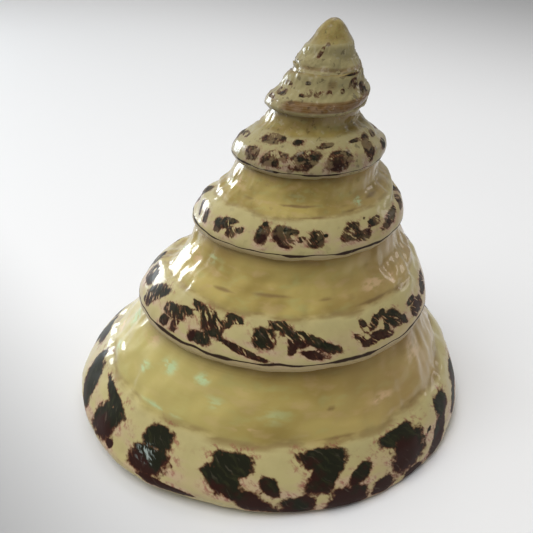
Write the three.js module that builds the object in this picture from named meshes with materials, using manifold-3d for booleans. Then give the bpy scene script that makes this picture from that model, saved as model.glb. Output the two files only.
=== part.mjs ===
import * as THREE from 'three';
import { mergeVertices } from 'three/addons/utils/BufferGeometryUtils.js';
import Module from 'manifold-3d';

// A polished top shell: one right-handed spiral of whorls, standing on the edge of its last whorl.
// Lengths marked "of REACH" are shares of the reference radius, so one number sets the real size.
const REACH = 42;          // mm, reference radius of the last whorl at its right-hand side
const GROWTH = 1.375;      // growth of a whorl over one turn
const RISE = 2.04;         // height of the cone over its radius
const INSET = 0.071;       // of REACH, how far the whole side lies inside a true cone
const ROUND_IN = 0.073;    // of REACH, inward reach of the rounding below the widest line
const ROUND_DOWN = 0.041;  // of REACH, downward reach of that rounding
const ROUND_FADE = 0.399;  // the rounding shrinks slower than the whorls towards the apex
const RIM_ANGLE = 0.868;   // rad, part of the rounding that shows above the next whorl
const OVERHANG = 0.045;    // of REACH, step from a rim in to the top of the next whorl
const TUCK = 0.004;        // of REACH, how far that step also falls
const SLOPE = 0.972;       // rad, fall of the whorl side below the suture
const SIDE_PULL = 0.596;   // of REACH, length of the straight side
const EDGE_PULL = 0.038;   // of REACH, upright part just above the widest line
const LAST_LIFT = 0.097;   // of REACH, lift of the last half turn, so the base comes out level
const LAST_NARROW = 0.025; // of REACH, slower widening of the last half turn
const LIP_LIFT = 0.60;     // of REACH, extra lift behind the last half turn, at the lip

const STEPS = 36;          // segments round one turn
const SIDE = 5;            // segments down the side of a whorl
const EDGE = 2;            // segments of rounding that show above the next whorl
const UNDER = 2;           // further segments of rounding below the last whorl
const BASE = 5;            // segments from the base edge to the axis
const COLUMNS = 216;       // segments along the whole spiral, six turns
const END = 285;           // deg, where the outer lip meets the suture
const LIP_BACK = 50;       // deg, how far the base end of the lip lags behind its suture end
const LIP_RUN = 120;       // deg, length over which the lag builds up

const TIP = -0.270;        // of REACH, height of the worn tip below the cone's point
const TIP_BLUNT = 0.06;    // of REACH, bluntness of the tip
const TIP_FALL = 2.24;     // fall of the tip's side for each unit outward
const TIP_RINGS = 3;
const AXIS_LOW = -2.08;    // of REACH, height of the base at the axis
const BASE_CURVE = 1.3;    // hollow of the base between its edge and the axis

const WALL = 2.0;          // mm, wall round the mouth
const MOUTH_R = 0.62;      // of REACH, middle of the mouth from the axis
const MOUTH_Z = -2.10;     // of REACH, height of that middle
const MOUTH_IN = 0.28;     // of REACH, how far the mouth reaches from its middle to the pillar
const DEPTH = 200;         // deg, how far the hollow runs back into the whorls
const DEPTH_STEPS = 8;
const THROAT = 0.22;       // narrowing of the hollow behind the mouth
const THROAT_RUN = 75;     // deg, length of that narrowing, and of the taper at the hollow's end
const TAPER = 0.40;        // narrowing at the hollow's end
const THROAT_R = 0.60;     // share of the widest radius at the middle of the hollow
const THROAT_Z = 0.42;     // share of the whorl's height at that middle

const LEAN = 8.0;          // deg, lean of the axis to the right when the shell stands
const PITCH = -1.15;       // deg, lean of the axis to the back
const STAND = -2.195;      // of REACH, level of the ground under the leaning shell

const TURN = 2 * Math.PI;
const deg = Math.PI / 180;
const first = END * deg - (COLUMNS / STEPS) * TURN;
const blend = (a, b, t) => a + (b - a) * t;
const ramp = (x, a, b) => THREE.MathUtils.smoothstep(x, a, b);

// Size of the whorl, and the radius and height of its widest line, at one angle along the spiral.
function wide(phi) {
  const g = GROWTH ** (phi / TURN);
  const u = Math.max(phi / Math.PI, 0);
  const late = Math.max(u - 1, 0);
  const lift = LAST_LIFT * u ** 3 + LIP_LIFT * late ** 2;
  return { g, r: g * (1 - LAST_NARROW * u * u) - INSET, z: lift - RISE * g };
}

// Point on the rounding below the widest line, at an angle from level to straight down.
function rounding(phi, angle) {
  const w = wide(phi);
  const s = w.g ** (1 - ROUND_FADE);
  const r = w.r - ROUND_IN * s * (1 - Math.cos(angle));
  return { r, z: w.z - ROUND_DOWN * s * Math.sin(angle) };
}

// Round tip: a blunted cone through the top of the first whole whorl.
function tipHeight(r) {
  return TIP - TIP_FALL * (Math.hypot(r, TIP_BLUNT) - TIP_BLUNT);
}

// The first turn fades into the worn tip: nought at its start, one from its end on.
function relief(phi) {
  return ramp(phi, first, first + TURN);
}

function settle(p, phi) {
  return { r: p.r, z: blend(tipHeight(p.r), p.z, relief(phi)) };
}

// Lower edge of a whorl, where the next one starts.
function rimPoint(phi) {
  return settle(rounding(phi, RIM_ANGLE), phi);
}

// Top of the whorl, tucked under the rim one turn before.
function neck(phi) {
  const above = rimPoint(phi - TURN);
  const step = OVERHANG * wide(phi - TURN).g * Math.max(relief(phi - TURN), 0.15);
  return { r: above.r - step, z: above.z - TUCK };
}

// Side of the whorl as a cubic curve from the suture to the widest line.
function side(phi, s) {
  const n = neck(phi);
  const w = wide(phi);
  const t = 1 - (1 - s) ** 0.55;
  const k = 1 - t;
  const down = Math.min(SIDE_PULL * w.g * Math.sin(SLOPE), 1.1 * (n.z - w.z));
  const a = { r: n.r + SIDE_PULL * w.g * Math.cos(SLOPE), z: n.z - down };
  const b = { r: w.r, z: w.z + EDGE_PULL * w.g };
  const mix = (p, q, c, d) => k ** 3 * p + 3 * k * k * t * q + 3 * k * t * t * c + t ** 3 * d;
  return settle({ r: mix(n.r, a.r, b.r, w.r), z: mix(n.z, a.z, b.z, w.z) }, phi);
}

// Underside of the last whorl, hollowed a little from the edge up to the axis.
function under(phi, s) {
  const edge = rounding(phi, Math.PI / 2);
  return { r: edge.r * (1 - s), z: blend(AXIS_LOW, edge.z, (1 - s) ** BASE_CURVE) };
}

const points = [];
const faces = [];

function put(p, phi) {
  points.push(p.r * Math.cos(phi) * REACH, -p.r * Math.sin(phi) * REACH, p.z * REACH);
  return points.length / 3 - 1;
}

function quad(a, b, c, d) {
  faces.push(a, b, c, a, c, d);
}

// Strip of quads between two chains of the same length.
function strip(a, b) {
  for (let k = 0; k + 1 < a.length; k += 1) {
    quad(a[k], b[k], b[k + 1], a[k + 1]);
  }
}

function gap(a, b) {
  const p = new THREE.Vector3().fromArray(points, 3 * a);
  return p.distanceTo(new THREE.Vector3().fromArray(points, 3 * b));
}

// Triangles between two chains of any length that start at one shared point.
function zip(a, b) {
  faces.push(a[0], b[1], a[1]);
  let i = 1;
  let j = 1;
  while (i + 1 < a.length || j + 1 < b.length) {
    const takeB = i + 1 === a.length || (j + 1 < b.length && gap(a[i], b[j + 1]) < gap(a[i + 1], b[j]));
    if (takeB) {
      faces.push(a[i], b[j], b[j + 1]);
      j += 1;
    } else {
      faces.push(a[i], b[j], a[i + 1]);
      i += 1;
    }
  }
}

// Angle of a point along the spiral: near the end the lower points lag, which slants the lip.
function angleAt(i, share) {
  const phi = first + (i / STEPS) * TURN;
  const lag = LIP_BACK * deg * ramp(phi, (END - LIP_RUN) * deg, END * deg);
  return phi - lag * share;
}

// Columns of points down the side and rim of every whorl, and on under the base for the last turn.
// The suture starts at one point, shared by the first rim and the top of the next whorl.
const columns = [];
const bases = new Map();
const axis = put({ r: 0, z: AXIS_LOW }, 0);
for (let i = 0; i <= COLUMNS; i += 1) {
  const column = [];
  for (let j = 0; j <= SIDE; j += 1) {
    const phi = angleAt(i, j / SIDE);
    const shared = i === STEPS && j === 0;
    column.push(shared ? columns[0][SIDE + EDGE] : put(side(phi, j / SIDE), phi));
  }
  const phi = angleAt(i, 1);
  for (let j = 1; j <= EDGE; j += 1) {
    column.push(put(settle(rounding(phi, RIM_ANGLE * j / EDGE), phi), phi));
  }
  columns.push(column);
  if (i >= COLUMNS - STEPS) {
    const base = [column[SIDE + EDGE]];
    for (let j = 1; j <= UNDER; j += 1) {
      base.push(put(rounding(phi, blend(RIM_ANGLE, Math.PI / 2, j / UNDER)), phi));
    }
    for (let j = 1; j < BASE; j += 1) {
      base.push(put(under(phi, j / BASE), phi));
    }
    base.push(axis);
    bases.set(i, base);
  }
}
const rim = (i) => columns[i][SIDE + EDGE];
const top = (i) => columns[i][0];
for (let i = 0; i < COLUMNS; i += 1) {
  strip(columns[i], columns[i + 1]);
  if (i === 0) {
    faces.push(rim(0), rim(1), top(1 + STEPS));
  } else if (i < COLUMNS - STEPS) {
    quad(rim(i), rim(i + 1), top(i + 1 + STEPS), top(i + STEPS));
  } else {
    const a = bases.get(i).slice(0, -1);
    const b = bases.get(i + 1).slice(0, -1);
    strip(a, b);
    faces.push(a[a.length - 1], b[b.length - 1], axis);
  }
}

// Worn tip above the first whorl.
const tip = put({ r: 0, z: TIP }, 0);
const crown = [];
for (let i = 0; i < STEPS; i += 1) {
  const phi = angleAt(i, 0);
  const r = neck(phi).r;
  const ring = [tip];
  for (let k = 1; k < TIP_RINGS; k += 1) {
    const rk = r * k / TIP_RINGS;
    ring.push(put({ r: rk, z: tipHeight(rk) }, phi));
  }
  ring.push(top(i));
  crown.push(ring);
}
for (let i = 0; i + 1 < STEPS; i += 1) {
  faces.push(tip, crown[i + 1][1], crown[i][1]);
  strip(crown[i].slice(1), crown[i + 1].slice(1));
}
zip(crown[STEPS - 1], [...crown[0], ...columns[0].slice(1)]);

// Mouth: the lip, the pillar and the whorl above form a loop; a smaller loop inside it opens the hollow.
const lip = [...columns[COLUMNS], ...bases.get(COLUMNS).slice(1)];
const roof = bases.get(COLUMNS - STEPS).slice(0, -1).reverse();
const loop = [...lip, ...roof];
const loopAngle = loop.map((v, k) => {
  if (k <= SIDE) {
    return angleAt(COLUMNS, k / SIDE);
  }
  const along = ramp(k, lip.length - 3, lip.length + 2);
  return blend(angleAt(COLUMNS, 1), END * deg, along);
});
const loopPoint = loop.map((v) => {
  const p = new THREE.Vector3().fromArray(points, 3 * v).divideScalar(REACH);
  return new THREE.Vector2(Math.hypot(p.x, p.y), p.z);
});
const middle = new THREE.Vector2(MOUTH_R, MOUTH_Z);
const corner = loop.length - UNDER - 2;
const mouth = loopPoint.map((p, k) => {
  const ease = (k - corner) / (loop.length - corner);
  const from = k > corner ? loopPoint[corner].clone().lerp(loopPoint[0], ease) : p;
  const out = from.clone().sub(middle);
  const limit = from.x < MOUTH_R ? MOUTH_IN : 1;
  const reach = Math.min(out.length() - WALL / REACH, limit);
  return middle.clone().addScaledVector(out, reach / out.length());
});

// The hollow follows the whorl back: its section keeps its place between roof, base and widest line.
function span(phi) {
  return { r: wide(phi).r, low: rounding(phi, Math.PI / 2).z, high: neck(phi).z };
}
const share = mouth.map((p, k) => {
  const s = span(loopAngle[k]);
  return { r: p.x / s.r, z: (p.y - s.low) / (s.high - s.low) };
});
let ring = loop;
for (let d = 0; d <= DEPTH_STEPS; d += 1) {
  const back = DEPTH * d / DEPTH_STEPS;
  const narrow = THROAT * ramp(back, -THROAT_RUN / 4, THROAT_RUN);
  const shrink = 1 - narrow - TAPER * ramp(back, DEPTH - THROAT_RUN, DEPTH);
  const next = share.map((q, k) => {
    const phi = loopAngle[k] - back * deg;
    const s = span(phi);
    const r = blend(THROAT_R, q.r, shrink);
    const z = blend(THROAT_Z, q.z, shrink);
    return put({ r: r * s.r, z: blend(s.low, s.high, z) }, phi);
  });
  for (let k = 0; k < loop.length; k += 1) {
    const m = (k + 1) % loop.length;
    quad(ring[m], ring[k], next[k], next[m]);
  }
  ring = next;
}
const lastAngle = END * deg - LIP_BACK * deg / 2 - DEPTH * deg;
const last = span(lastAngle);
const deep = put({ r: THROAT_R * last.r, z: blend(last.low, last.high, THROAT_Z) }, lastAngle);
for (let k = 0; k < loop.length; k += 1) {
  faces.push(ring[(k + 1) % loop.length], ring[k], deep);
}

// Stand the shell as it rests, and wear flats into it where it meets the ground.
const grown = new THREE.BufferGeometry();
grown.setAttribute('position', new THREE.Float32BufferAttribute(points, 3));
grown.setIndex(faces);
grown.rotateY(LEAN * deg);
grown.rotateX(PITCH * deg);
grown.translate(0, 0, -STAND * REACH);

const wasm = await Module();
wasm.setup();

function solid(geometry) {
  const g = geometry.clone();
  g.deleteAttribute('normal');
  g.deleteAttribute('uv');
  const m = mergeVertices(g, 1e-4);
  const vertProperties = new Float32Array(m.attributes.position.array);
  const triVerts = new Uint32Array(m.index.array);
  return new wasm.Manifold(new wasm.Mesh({ numProp: 3, vertProperties, triVerts }));
}

const ground = new THREE.BoxGeometry(6 * REACH, 6 * REACH, REACH);
ground.translate(0, 0, -REACH / 2);
const worn = solid(grown).subtract(solid(ground)).getMesh();
const shape = new THREE.BufferGeometry();
shape.setAttribute('position', new THREE.Float32BufferAttribute(worn.vertProperties, 3));
shape.setIndex(new THREE.Uint32BufferAttribute(worn.triVerts, 1));
shape.computeBoundingBox();
const centre = shape.boundingBox.getCenter(new THREE.Vector3());
shape.translate(-centre.x, -centre.y, -shape.boundingBox.min.z);
shape.computeVertexNormals();

const pearl = new THREE.MeshStandardMaterial({ color: 0xb9a77c, roughness: 0.25, metalness: 0 });
const shell = new THREE.Mesh(shape, pearl);
shell.name = 'shell';

const part = new THREE.Group();
part.name = 'top_shell';
part.add(shell);

export default part;
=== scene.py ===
import math

import bpy
import numpy as np
from mathutils import Matrix, Vector


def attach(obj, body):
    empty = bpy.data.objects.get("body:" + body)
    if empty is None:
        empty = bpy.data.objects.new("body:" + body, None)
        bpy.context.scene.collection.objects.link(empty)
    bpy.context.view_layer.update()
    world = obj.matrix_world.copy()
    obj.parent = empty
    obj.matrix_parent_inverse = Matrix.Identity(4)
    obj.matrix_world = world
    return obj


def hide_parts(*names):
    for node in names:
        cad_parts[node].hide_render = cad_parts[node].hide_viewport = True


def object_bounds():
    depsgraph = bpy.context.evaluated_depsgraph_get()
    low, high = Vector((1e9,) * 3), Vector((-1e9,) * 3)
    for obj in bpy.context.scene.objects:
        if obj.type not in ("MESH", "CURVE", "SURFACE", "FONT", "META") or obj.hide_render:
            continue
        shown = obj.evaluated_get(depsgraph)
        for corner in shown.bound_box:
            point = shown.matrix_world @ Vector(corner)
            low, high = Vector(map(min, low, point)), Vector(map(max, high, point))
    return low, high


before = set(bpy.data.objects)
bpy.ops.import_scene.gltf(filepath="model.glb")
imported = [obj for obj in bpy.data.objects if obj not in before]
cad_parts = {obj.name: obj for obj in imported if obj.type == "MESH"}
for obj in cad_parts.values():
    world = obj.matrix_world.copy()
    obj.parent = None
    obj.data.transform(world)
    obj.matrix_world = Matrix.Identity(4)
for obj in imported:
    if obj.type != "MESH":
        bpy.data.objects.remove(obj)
CAD_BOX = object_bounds()

bl_info = {
    "name": "Top shell",
    "version": (1, 0, 0),
    "blender": (4, 5, 0),
    "location": "3D View > Sidebar > Top shell",
    "description": "A polished top shell with pearl whorls and a blotched cream band",
    "category": "Object",
}

TURN = 2 * math.pi

# Shape of the spiral, as shares of the reference radius of the last whorl (the reach).
WIDTH_IN_REACHES = 2.0176  # width of the standing shell
GROWTH = 1.375  # growth of a whorl over one turn
RISE = 2.04  # height of the cone over its radius
INSET = 0.071  # how far the whole side lies inside a true cone
ROUND_IN = 0.073  # inward reach of the rounding below the widest line
ROUND_DOWN = 0.041  # downward reach of that rounding
ROUND_FADE = 0.399  # the rounding shrinks slower than the whorls towards the apex
RIM_ANGLE = 0.868  # part of the rounding that shows above the next whorl
OVERHANG = 0.045  # step from a rim in to the top of the next whorl
TUCK = 0.004  # how far that step also falls
SLOPE = 0.972  # fall of the whorl side below the suture
SIDE_PULL = 0.596  # length of the straight side
EDGE_PULL = 0.038  # upright part just above the widest line
SIDE_EASE = 0.55  # closer rows towards the suture
SIDE_DROP = 1.1  # most that the straight side falls, as a share of the whorl's height
LAST_LIFT = 0.097  # lift of the last half turn, so the base comes out level
LAST_NARROW = 0.025  # slower widening of the last half turn
LIP_LIFT = 0.6  # extra lift behind the last half turn, at the lip
END = math.radians(285)  # where the outer lip meets the suture
LIP_BACK = math.radians(50)  # how far the base end of the lip lags behind its suture end
LIP_RUN = math.radians(120)  # length over which the lag builds up
TURNS = 6
FIRST = END - TURNS * TURN
TIP = -0.27  # height of the worn tip below the cone's point
TIP_BLUNT = 0.06  # bluntness of the tip
TIP_FALL = 2.24  # fall of the tip's side for each unit outward
LEAST_STEP = 0.15  # share of the overhang that is left at the worn tip
AXIS_LOW = -2.08  # height of the base at the axis
BASE_CURVE = 1.3  # hollow of the base between its edge and the axis
WALL = 0.048  # wall round the mouth
MOUTH_R = 0.62  # middle of the mouth from the axis
MOUTH_Z = -2.1  # height of that middle
MOUTH_IN = 0.28  # how far the mouth reaches from its middle to the pillar
DEPTH = math.radians(200)  # how far the hollow runs back into the whorls
THROAT = 0.22  # narrowing of the hollow behind the mouth
THROAT_RUN = math.radians(75)  # length of that narrowing, and of the taper at the hollow's end
TAPER = 0.4  # narrowing at the hollow's end
THROAT_R = 0.6  # share of the widest radius at the middle of the hollow
THROAT_Z = 0.42  # share of the whorl's height at that middle
STAND = -2.195  # level of the ground under the leaning shell

# Rows and columns of the surface.
AROUND = 320  # columns in one turn
SIDE_ROWS = 32
RIM_ROWS = 7
UNDER_ROWS = 5
BASE_ROWS = 20
TIP_ROWS = 6
DEEP_ROWS = 36
COLUMNS = TURNS * AROUND
ROWS = SIDE_ROWS + RIM_ROWS

# Dark marks on the shown side of each whorl, from the last whorl upwards: angle along the whorl and
# half length in degrees, height from suture (0) to rim (1), half height, and slant if it has one.
BLOTCHES = (
    (
        (163, 5.5, 0.74, 0.17, -25), (147, 6, 0.615, 0.055, -120), (144, 5.5, 0.77, 0.14, 8),
        (138, 1.5, 0.87, 0.03), (124, 4.8, 0.63, 0.08), (124, 6.5, 0.79, 0.095, 5),
        (117, 8, 0.91, 0.025, -40), (101, 6, 0.64, 0.07, -5), (103, 4.8, 0.75, 0.09, -25),
        (95, 5, 0.86, 0.085, -60), (90, 2.5, 0.76, 0.06, -20), (82, 4.5, 0.9, 0.08),
        (76, 7, 0.6, 0.065, -15), (75.5, 4.2, 0.72, 0.11, 20), (65, 3, 0.745, 0.065, 30),
        (69, 5.5, 0.88, 0.09, 5), (58, 3.5, 0.88, 0.06), (51, 7, 0.605, 0.045),
        (48, 6.5, 0.74, 0.14, 5), (46, 4, 0.92, 0.05), (38, 1.2, 0.72, 0.018),
        (27.5, 4.6, 0.67, 0.075, -10), (33, 4.5, 0.82, 0.11, 40), (9, 5.5, 0.72, 0.08),
        (17, 4.5, 0.8, 0.06, 40),
    ),
    (
        (171, 6, 0.69, 0.09), (156, 5, 0.7, 0.11, 40), (159, 4, 0.83, 0.035),
        (140, 6, 0.72, 0.055, 20), (134, 3, 0.655, 0.035, -30), (142.5, 2.5, 0.83, 0.05),
        (136.5, 1.8, 0.82, 0.055), (130, 3.5, 0.575, 0.035, -60), (121.5, 4.6, 0.68, 0.105, -30),
        (124, 5, 0.82, 0.05), (108, 4, 0.82, 0.07, -140), (113.5, 4, 0.58, 0.035, -40),
        (115.5, 2, 0.64, 0.035), (100, 4.2, 0.7, 0.085, -10), (94.5, 4, 0.585, 0.04, -45),
        (92, 1.8, 0.635, 0.03), (87, 3.5, 0.7, 0.075, -10), (79, 4, 0.74, 0.09, -75),
        (81, 3.5, 0.83, 0.045, -70), (89, 1.5, 0.79, 0.04), (60, 1.6, 0.67, 0.07, -20),
        (62, 1.5, 0.77, 0.06, -40), (58, 4, 0.82, 0.03), (54.5, 2, 0.66, 0.06, 20),
        (52, 4, 0.8, 0.05, -60), (44.5, 4, 0.71, 0.09, -25), (50, 2.2, 0.615, 0.03),
        (49, 1.3, 0.73, 0.07), (38, 1.5, 0.79, 0.05, -20), (30, 4, 0.7, 0.03),
        (26, 6, 0.8, 0.06), (12, 6, 0.75, 0.07, 20),
    ),
    (
        (165.5, 2.6, 0.74, 0.08, -25), (154, 2.6, 0.755, 0.08, -20), (135, 5, 0.665, 0.035, 40),
        (139, 6, 0.73, 0.05), (139.5, 2.6, 0.8, 0.05), (130, 3, 0.78, 0.06),
        (125, 1.5, 0.73, 0.04), (112.5, 3.6, 0.72, 0.11), (113, 1.5, 0.6, 0.04),
        (102.5, 5, 0.68, 0.09), (99.5, 4, 0.78, 0.05), (97, 3, 0.65, 0.03),
        (92, 1.5, 0.73, 0.03), (84, 4, 0.73, 0.095), (79, 1.5, 0.69, 0.02),
        (64, 5, 0.69, 0.1, 20), (56.5, 4.6, 0.76, 0.06), (48, 5, 0.66, 0.05, 10),
        (54, 1, 0.58, 0.02), (32, 7, 0.73, 0.075, 60), (37, 3, 0.79, 0.03),
        (12, 5, 0.73, 0.07, 30),
    ),
    (
        (142, 6.5, 0.75, 0.1), (121, 8.5, 0.74, 0.12, 10), (98, 9.5, 0.7, 0.15, 25),
        (83, 7, 0.46, 0.045, 60), (72, 9, 0.72, 0.15, 10), (42, 5.5, 0.62, 0.2, 10),
        (133, 11, 0.43, 0.09, 30), (108, 4.5, 0.415, 0.05), (172, 8, 0.55, 0.05),
        (54, 6, 0.45, 0.03), (19, 5, 0.75, 0.08), (26, 4, 0.48, 0.06),
    ),
    (
        (153, 9, 0.52, 0.09), (163, 7, 0.7, 0.05), (152, 8, 0.3, 0.04),
        (118, 5, 0.51, 0.05), (112, 5, 0.45, 0.075), (99, 4.5, 0.455, 0.065),
        (85, 3, 0.43, 0.055), (67, 3, 0.415, 0.055), (48, 8, 0.315, 0.12),
        (29, 8, 0.48, 0.16), (116, 4, 0.24, 0.034), (50, 18, 0.095, 0.016),
    ),
    (
        (111, 4, 0.25, 0.15, 20), (100, 5, 0.03, 0.04), (42, 12, 0.885, 0.018),
    ),
)
HIDDEN_SEED = 7
HIDDEN_FROM = 186  # degrees, start of the far side of each whorl
HIDDEN_TO = 352  # degrees, end of it
HIDDEN_STEP = 19  # degrees between blotches there, on the last whorl
HIDDEN_WIDEN = 0.15  # growth of that step for each whorl further up
HIDDEN_ROWS = ((3, 6, 0.64, 0.08), (4, 5, 0.79, 0.11))  # sway, half length, height and half height

GROWTH_SLANT = 0.125  # turns by which a growth line falls back from suture to rim
RIM_LINE = 0.912  # height of the broken dark line above each upper rim
RIM_LINE_HALF = 0.014  # half its height

# Painted glints of the pearl: coloured painted sheen, partly the pearl's own tint, and a painted
# highlight on a blotch. Whorl, angle and half length in degrees, height and half height, and tint from
# rose (-1) to green (1).
PAINTED_GLINTS = (
    (0, 134, 4, 0.2, 0.05, 1), (0, 119, 3, 0.18, 0.04, 1), (0, 127, 9, 0.475, 0.014, 1),
    (0, 104, 6, 0.2, 0.05, -0.35), (0, 53, 5, 0.335, 0.035, -1), (0, 92, 7, 0.33, 0.08, 0.35),
    (0, 30, 8, 0.2, 0.12, -0.6), (1, 50, 7, 0.35, 0.06, -1), (1, 36, 3, 0.4, 0.05, -0.8),
    (1, 152, 4, 0.24, 0.08, -0.7), (2, 53, 4, 0.36, 0.06, 0.8), (2, 100, 12, 0.25, 0.08, 0.3),
    (2, 150, 6, 0.2, 0.08, -0.6), (0, 150, 6, 0.12, 0.06, -0.7), (0, 143, 3, 0.3, 0.05, 0.8),
    (0, 112, 5, 0.3, 0.05, 0.5), (0, 100, 7, 0.42, 0.03, -0.5), (1, 140, 6, 0.16, 0.06, 0.5),
    (0, 125, 4, 0.76, 0.07, 1), (0, 172, 5, 0.18, 0.1, 0.8), (0, 178, 5, 0.38, 0.08, -0.8),
    (0, 165, 4, 0.42, 0.05, 0.7), (1, 170, 5, 0.3, 0.08, 0.7),
)

# Long dents of the pearl, with painted shade in them, in the same way, with their strength last.
DENTS = (
    (0, 73, 2, 0.3, 0.02, 0.8), (0, 40, 20, 0.47, 0.02, 0.6), (0, 72, 12, 0.485, 0.012, 0.6),
    (0, 80, 6, 0.18, 0.05, 0.35), (1, 124, 7, 0.375, 0.016, 0.9), (1, 101, 11, 0.345, 0.02, 1),
    (1, 110, 5, 0.4, 0.015, 0.5), (1, 76, 5, 0.365, 0.02, 0.9), (1, 64, 4, 0.39, 0.03, 0.7),
    (1, 52, 14, 0.485, 0.02, 0.9), (1, 34, 10, 0.53, 0.02, 0.9), (1, 50, 5, 0.17, 0.06, 0.5),
    (2, 134, 8, 0.35, 0.025, 0.8), (2, 98, 15, 0.335, 0.018, 1), (2, 66, 9, 0.385, 0.018, 0.9),
    (2, 58, 12, 0.44, 0.02, 0.7), (2, 90, 18, 0.475, 0.012, 0.6), (2, 38, 14, 0.37, 0.04, 0.7),
)

# Values at the front of each whorl, from the last whorl upwards. Where the cream band starts, as a
# height from the suture; the rest as shares of the whorl's size: dip under the suture, how much
# deeper it is on the right, swell of the band, more of it on the right, and bead on the rim; then how
# aged the surface is, how broken the blotches are, and where the dip lies.
BAND_START = (0.5, 0.51, 0.48, 0.3, 0.06, 0.0)
NECK_DIP = (0.0, 0.034, 0.05, 0.085, -0.03, -0.03)
NECK_RIGHT = (0.0, 0.0, 0.012, 0.07, 0.0, 0.0)
BAND_SWELL = (0.012, 0.006, 0.014, 0.045, 0.03, 0.0)
SWELL_RIGHT = (0.016, 0.0, 0.0, 0.0, 0.0, 0.0)
RIM_BEAD = (0.014, 0.014, 0.014, 0.014, 0.0, -0.11)
AGE = (0.0, 0.05, 0.25, 0.85, 0.95, 1.0)
BROKEN = (0.1, 0.28, 0.33, 0.42, 0.5, 0.4)
DIP_AT = (0.2, 0.24, 0.3, 0.18, 0.1, 0.1)

# Single folds (negative) and bulges, in the same way as the dents, as shares of the whorl's size.
FOLDS = (
    (5, 183.6, 36, 0.85, 0.15, -0.15), (4, 18, 36, 0.87, 0.1, -0.11),
    (3, -32.4, 18, 0.79, 0.07, -0.08), (3, -28.8, 21.6, 0.7, 0.08, -0.14),
    (3, -21.6, 28.8, 0.4, 0.14, -0.13), (3, -18, 25.2, 0.6, 0.08, -0.15),
    (2, -21.6, 14.4, 0.7, 0.07, -0.055), (2, -14.4, 10.8, 0.76, 0.05, -0.04),
    (2, -7.2, 28.8, 0.63, 0.06, -0.06), (2, 172.8, 18, 0.82, 0.1, -0.032),
    (2, 190.8, 28.8, 0.52, 0.1, -0.04), (1, -10.8, 21.6, 0.58, 0.06, -0.025),
    (1, 194.4, 28.8, 0.42, 0.12, -0.056), (0, -10.8, 28.8, 0.48, 0.1, -0.036),
    (0, 50.4, 18, 0.93, 0.05, 0.004), (0, 106.2, 10.8, 0.945, 0.05, -0.01),
    (0, 126.72, 10.8, 0.93, 0.05, 0.015), (0, 136.8, 14.4, 0.93, 0.05, 0.006),
)

# Polished lumps, from broad to fine: height, rate and shift along and across the whorl, seed of their
# noise, and share of the drift that bends them along and across.
LUMPS = (
    (0.0090, 4.0, 0, 4.5, 0, 11, 1, 1), (0.0078, 8.5, 40, 9, 3, 12, 0, 1),
    (0.0034, 21, 7, 17, 9, 13, 0, 0), (0.0028, 17, 3, 2.2, 50, 17, 0, 0),
)

# Heights of the other forms, as shares of the whorl's size.
BAND_CALM = 0.45  # share of the lumps that is left on the cream band
CRUST_HEIGHT = 0.010  # rough lumps of the aged whorls
DENT_DEPTH = 0.007
GROOVE_DEPTH = 0.0095  # groove where the band begins
GROOVE_HALF = 0.025  # half its height
LAST_PINCH = 0.010  # how far the edge of the last whorl draws in
TIP_SWELL = 0.014  # growth of the worn tip, in reaches
TIP_KNOBS = 0.006  # lumps on it
SHARP = math.radians(60)  # angle from which an edge stays sharp

# Soft round lights: name, place, size, power, colour, angle of the beam, and if reflections show it.
LIGHTS = (
    ("left_panel", (-0.4, 0.4, 0.085), 0.2, 0.22, (0.86, 0.94, 1.0), math.pi / 2, True),
    ("right_panel", (0.44, 0.2, 0.16), 0.14, 0.13, (1.0, 0.92, 0.92), math.pi, True),
    ("back_panel", (0.02, 0.3, 0.55), 0.35, 0.5, (1.0, 1.0, 1.0), math.pi, True),
    ("top_panel", (-0.16, -0.12, 0.48), 0.45, 1.6, (1.0, 1.0, 1.0), math.pi, False),
)
LIGHT_TARGET = Vector((0, 0, 0.035))
SENSOR_WIDTH = 36  # millimetres
CLIP_NEAR = 0.005
CLIP_FAR = 50


def ramp(x, low, high):
    """Smooth step: 0 below low, 1 above high, 3t^2 - 2t^3 between."""
    t = np.clip((x - low) / (high - low), 0, 1)
    return t * t * (3 - 2 * t)


def blend(a, b, t):
    """a at t = 0, b at t = 1, straight between."""
    return a + (b - a) * t


def bell(x, middle, half):
    """Bell curve: e to the minus square of the distance from the middle in half widths."""
    return np.exp(-((x - middle) / half) ** 2)


def lattice_noise(x, y, seed):
    """Smooth random field from -1 to 1: random values at whole x and y, eased between them."""
    table = np.random.default_rng(seed).uniform(-1, 1, (256, 256))
    x0, y0 = np.floor(x).astype(int), np.floor(y).astype(int)
    tx, ty = x - x0, y - y0
    tx, ty = tx * tx * (3 - 2 * tx), ty * ty * (3 - 2 * ty)
    low = blend(table[x0 % 256, y0 % 256], table[(x0 + 1) % 256, y0 % 256], tx)
    high = blend(table[x0 % 256, (y0 + 1) % 256], table[(x0 + 1) % 256, (y0 + 1) % 256], tx)
    return blend(low, high, ty)


def wide(phi):
    """Size, radius and height of a whorl's widest line.

    The size grows by GROWTH each turn; radius and height follow a cone, except that the last half
    turn narrows with the square of its angle and lifts with its cube, so that the base comes out level.
    """
    g = GROWTH ** (phi / TURN)
    u = np.clip(phi / math.pi, 0, None)
    late = np.clip(u - 1, 0, None)
    lift = LAST_LIFT * u ** 3 + LIP_LIFT * late ** 2
    return g, g * (1 - LAST_NARROW * u * u) - INSET, lift - RISE * g


def rounding(phi, angle):
    """Quarter ellipse below the widest line, from level (0) to straight down (a right angle)."""
    g, r, z = wide(phi)
    s = g ** (1 - ROUND_FADE)
    return r - ROUND_IN * s * (1 - np.cos(angle)), z - ROUND_DOWN * s * np.sin(angle)


def tip_height(r):
    """Height of the worn tip: a hyperbola of revolution, round at the axis and straight outside."""
    return TIP - TIP_FALL * (np.hypot(r, TIP_BLUNT) - TIP_BLUNT)


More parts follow.
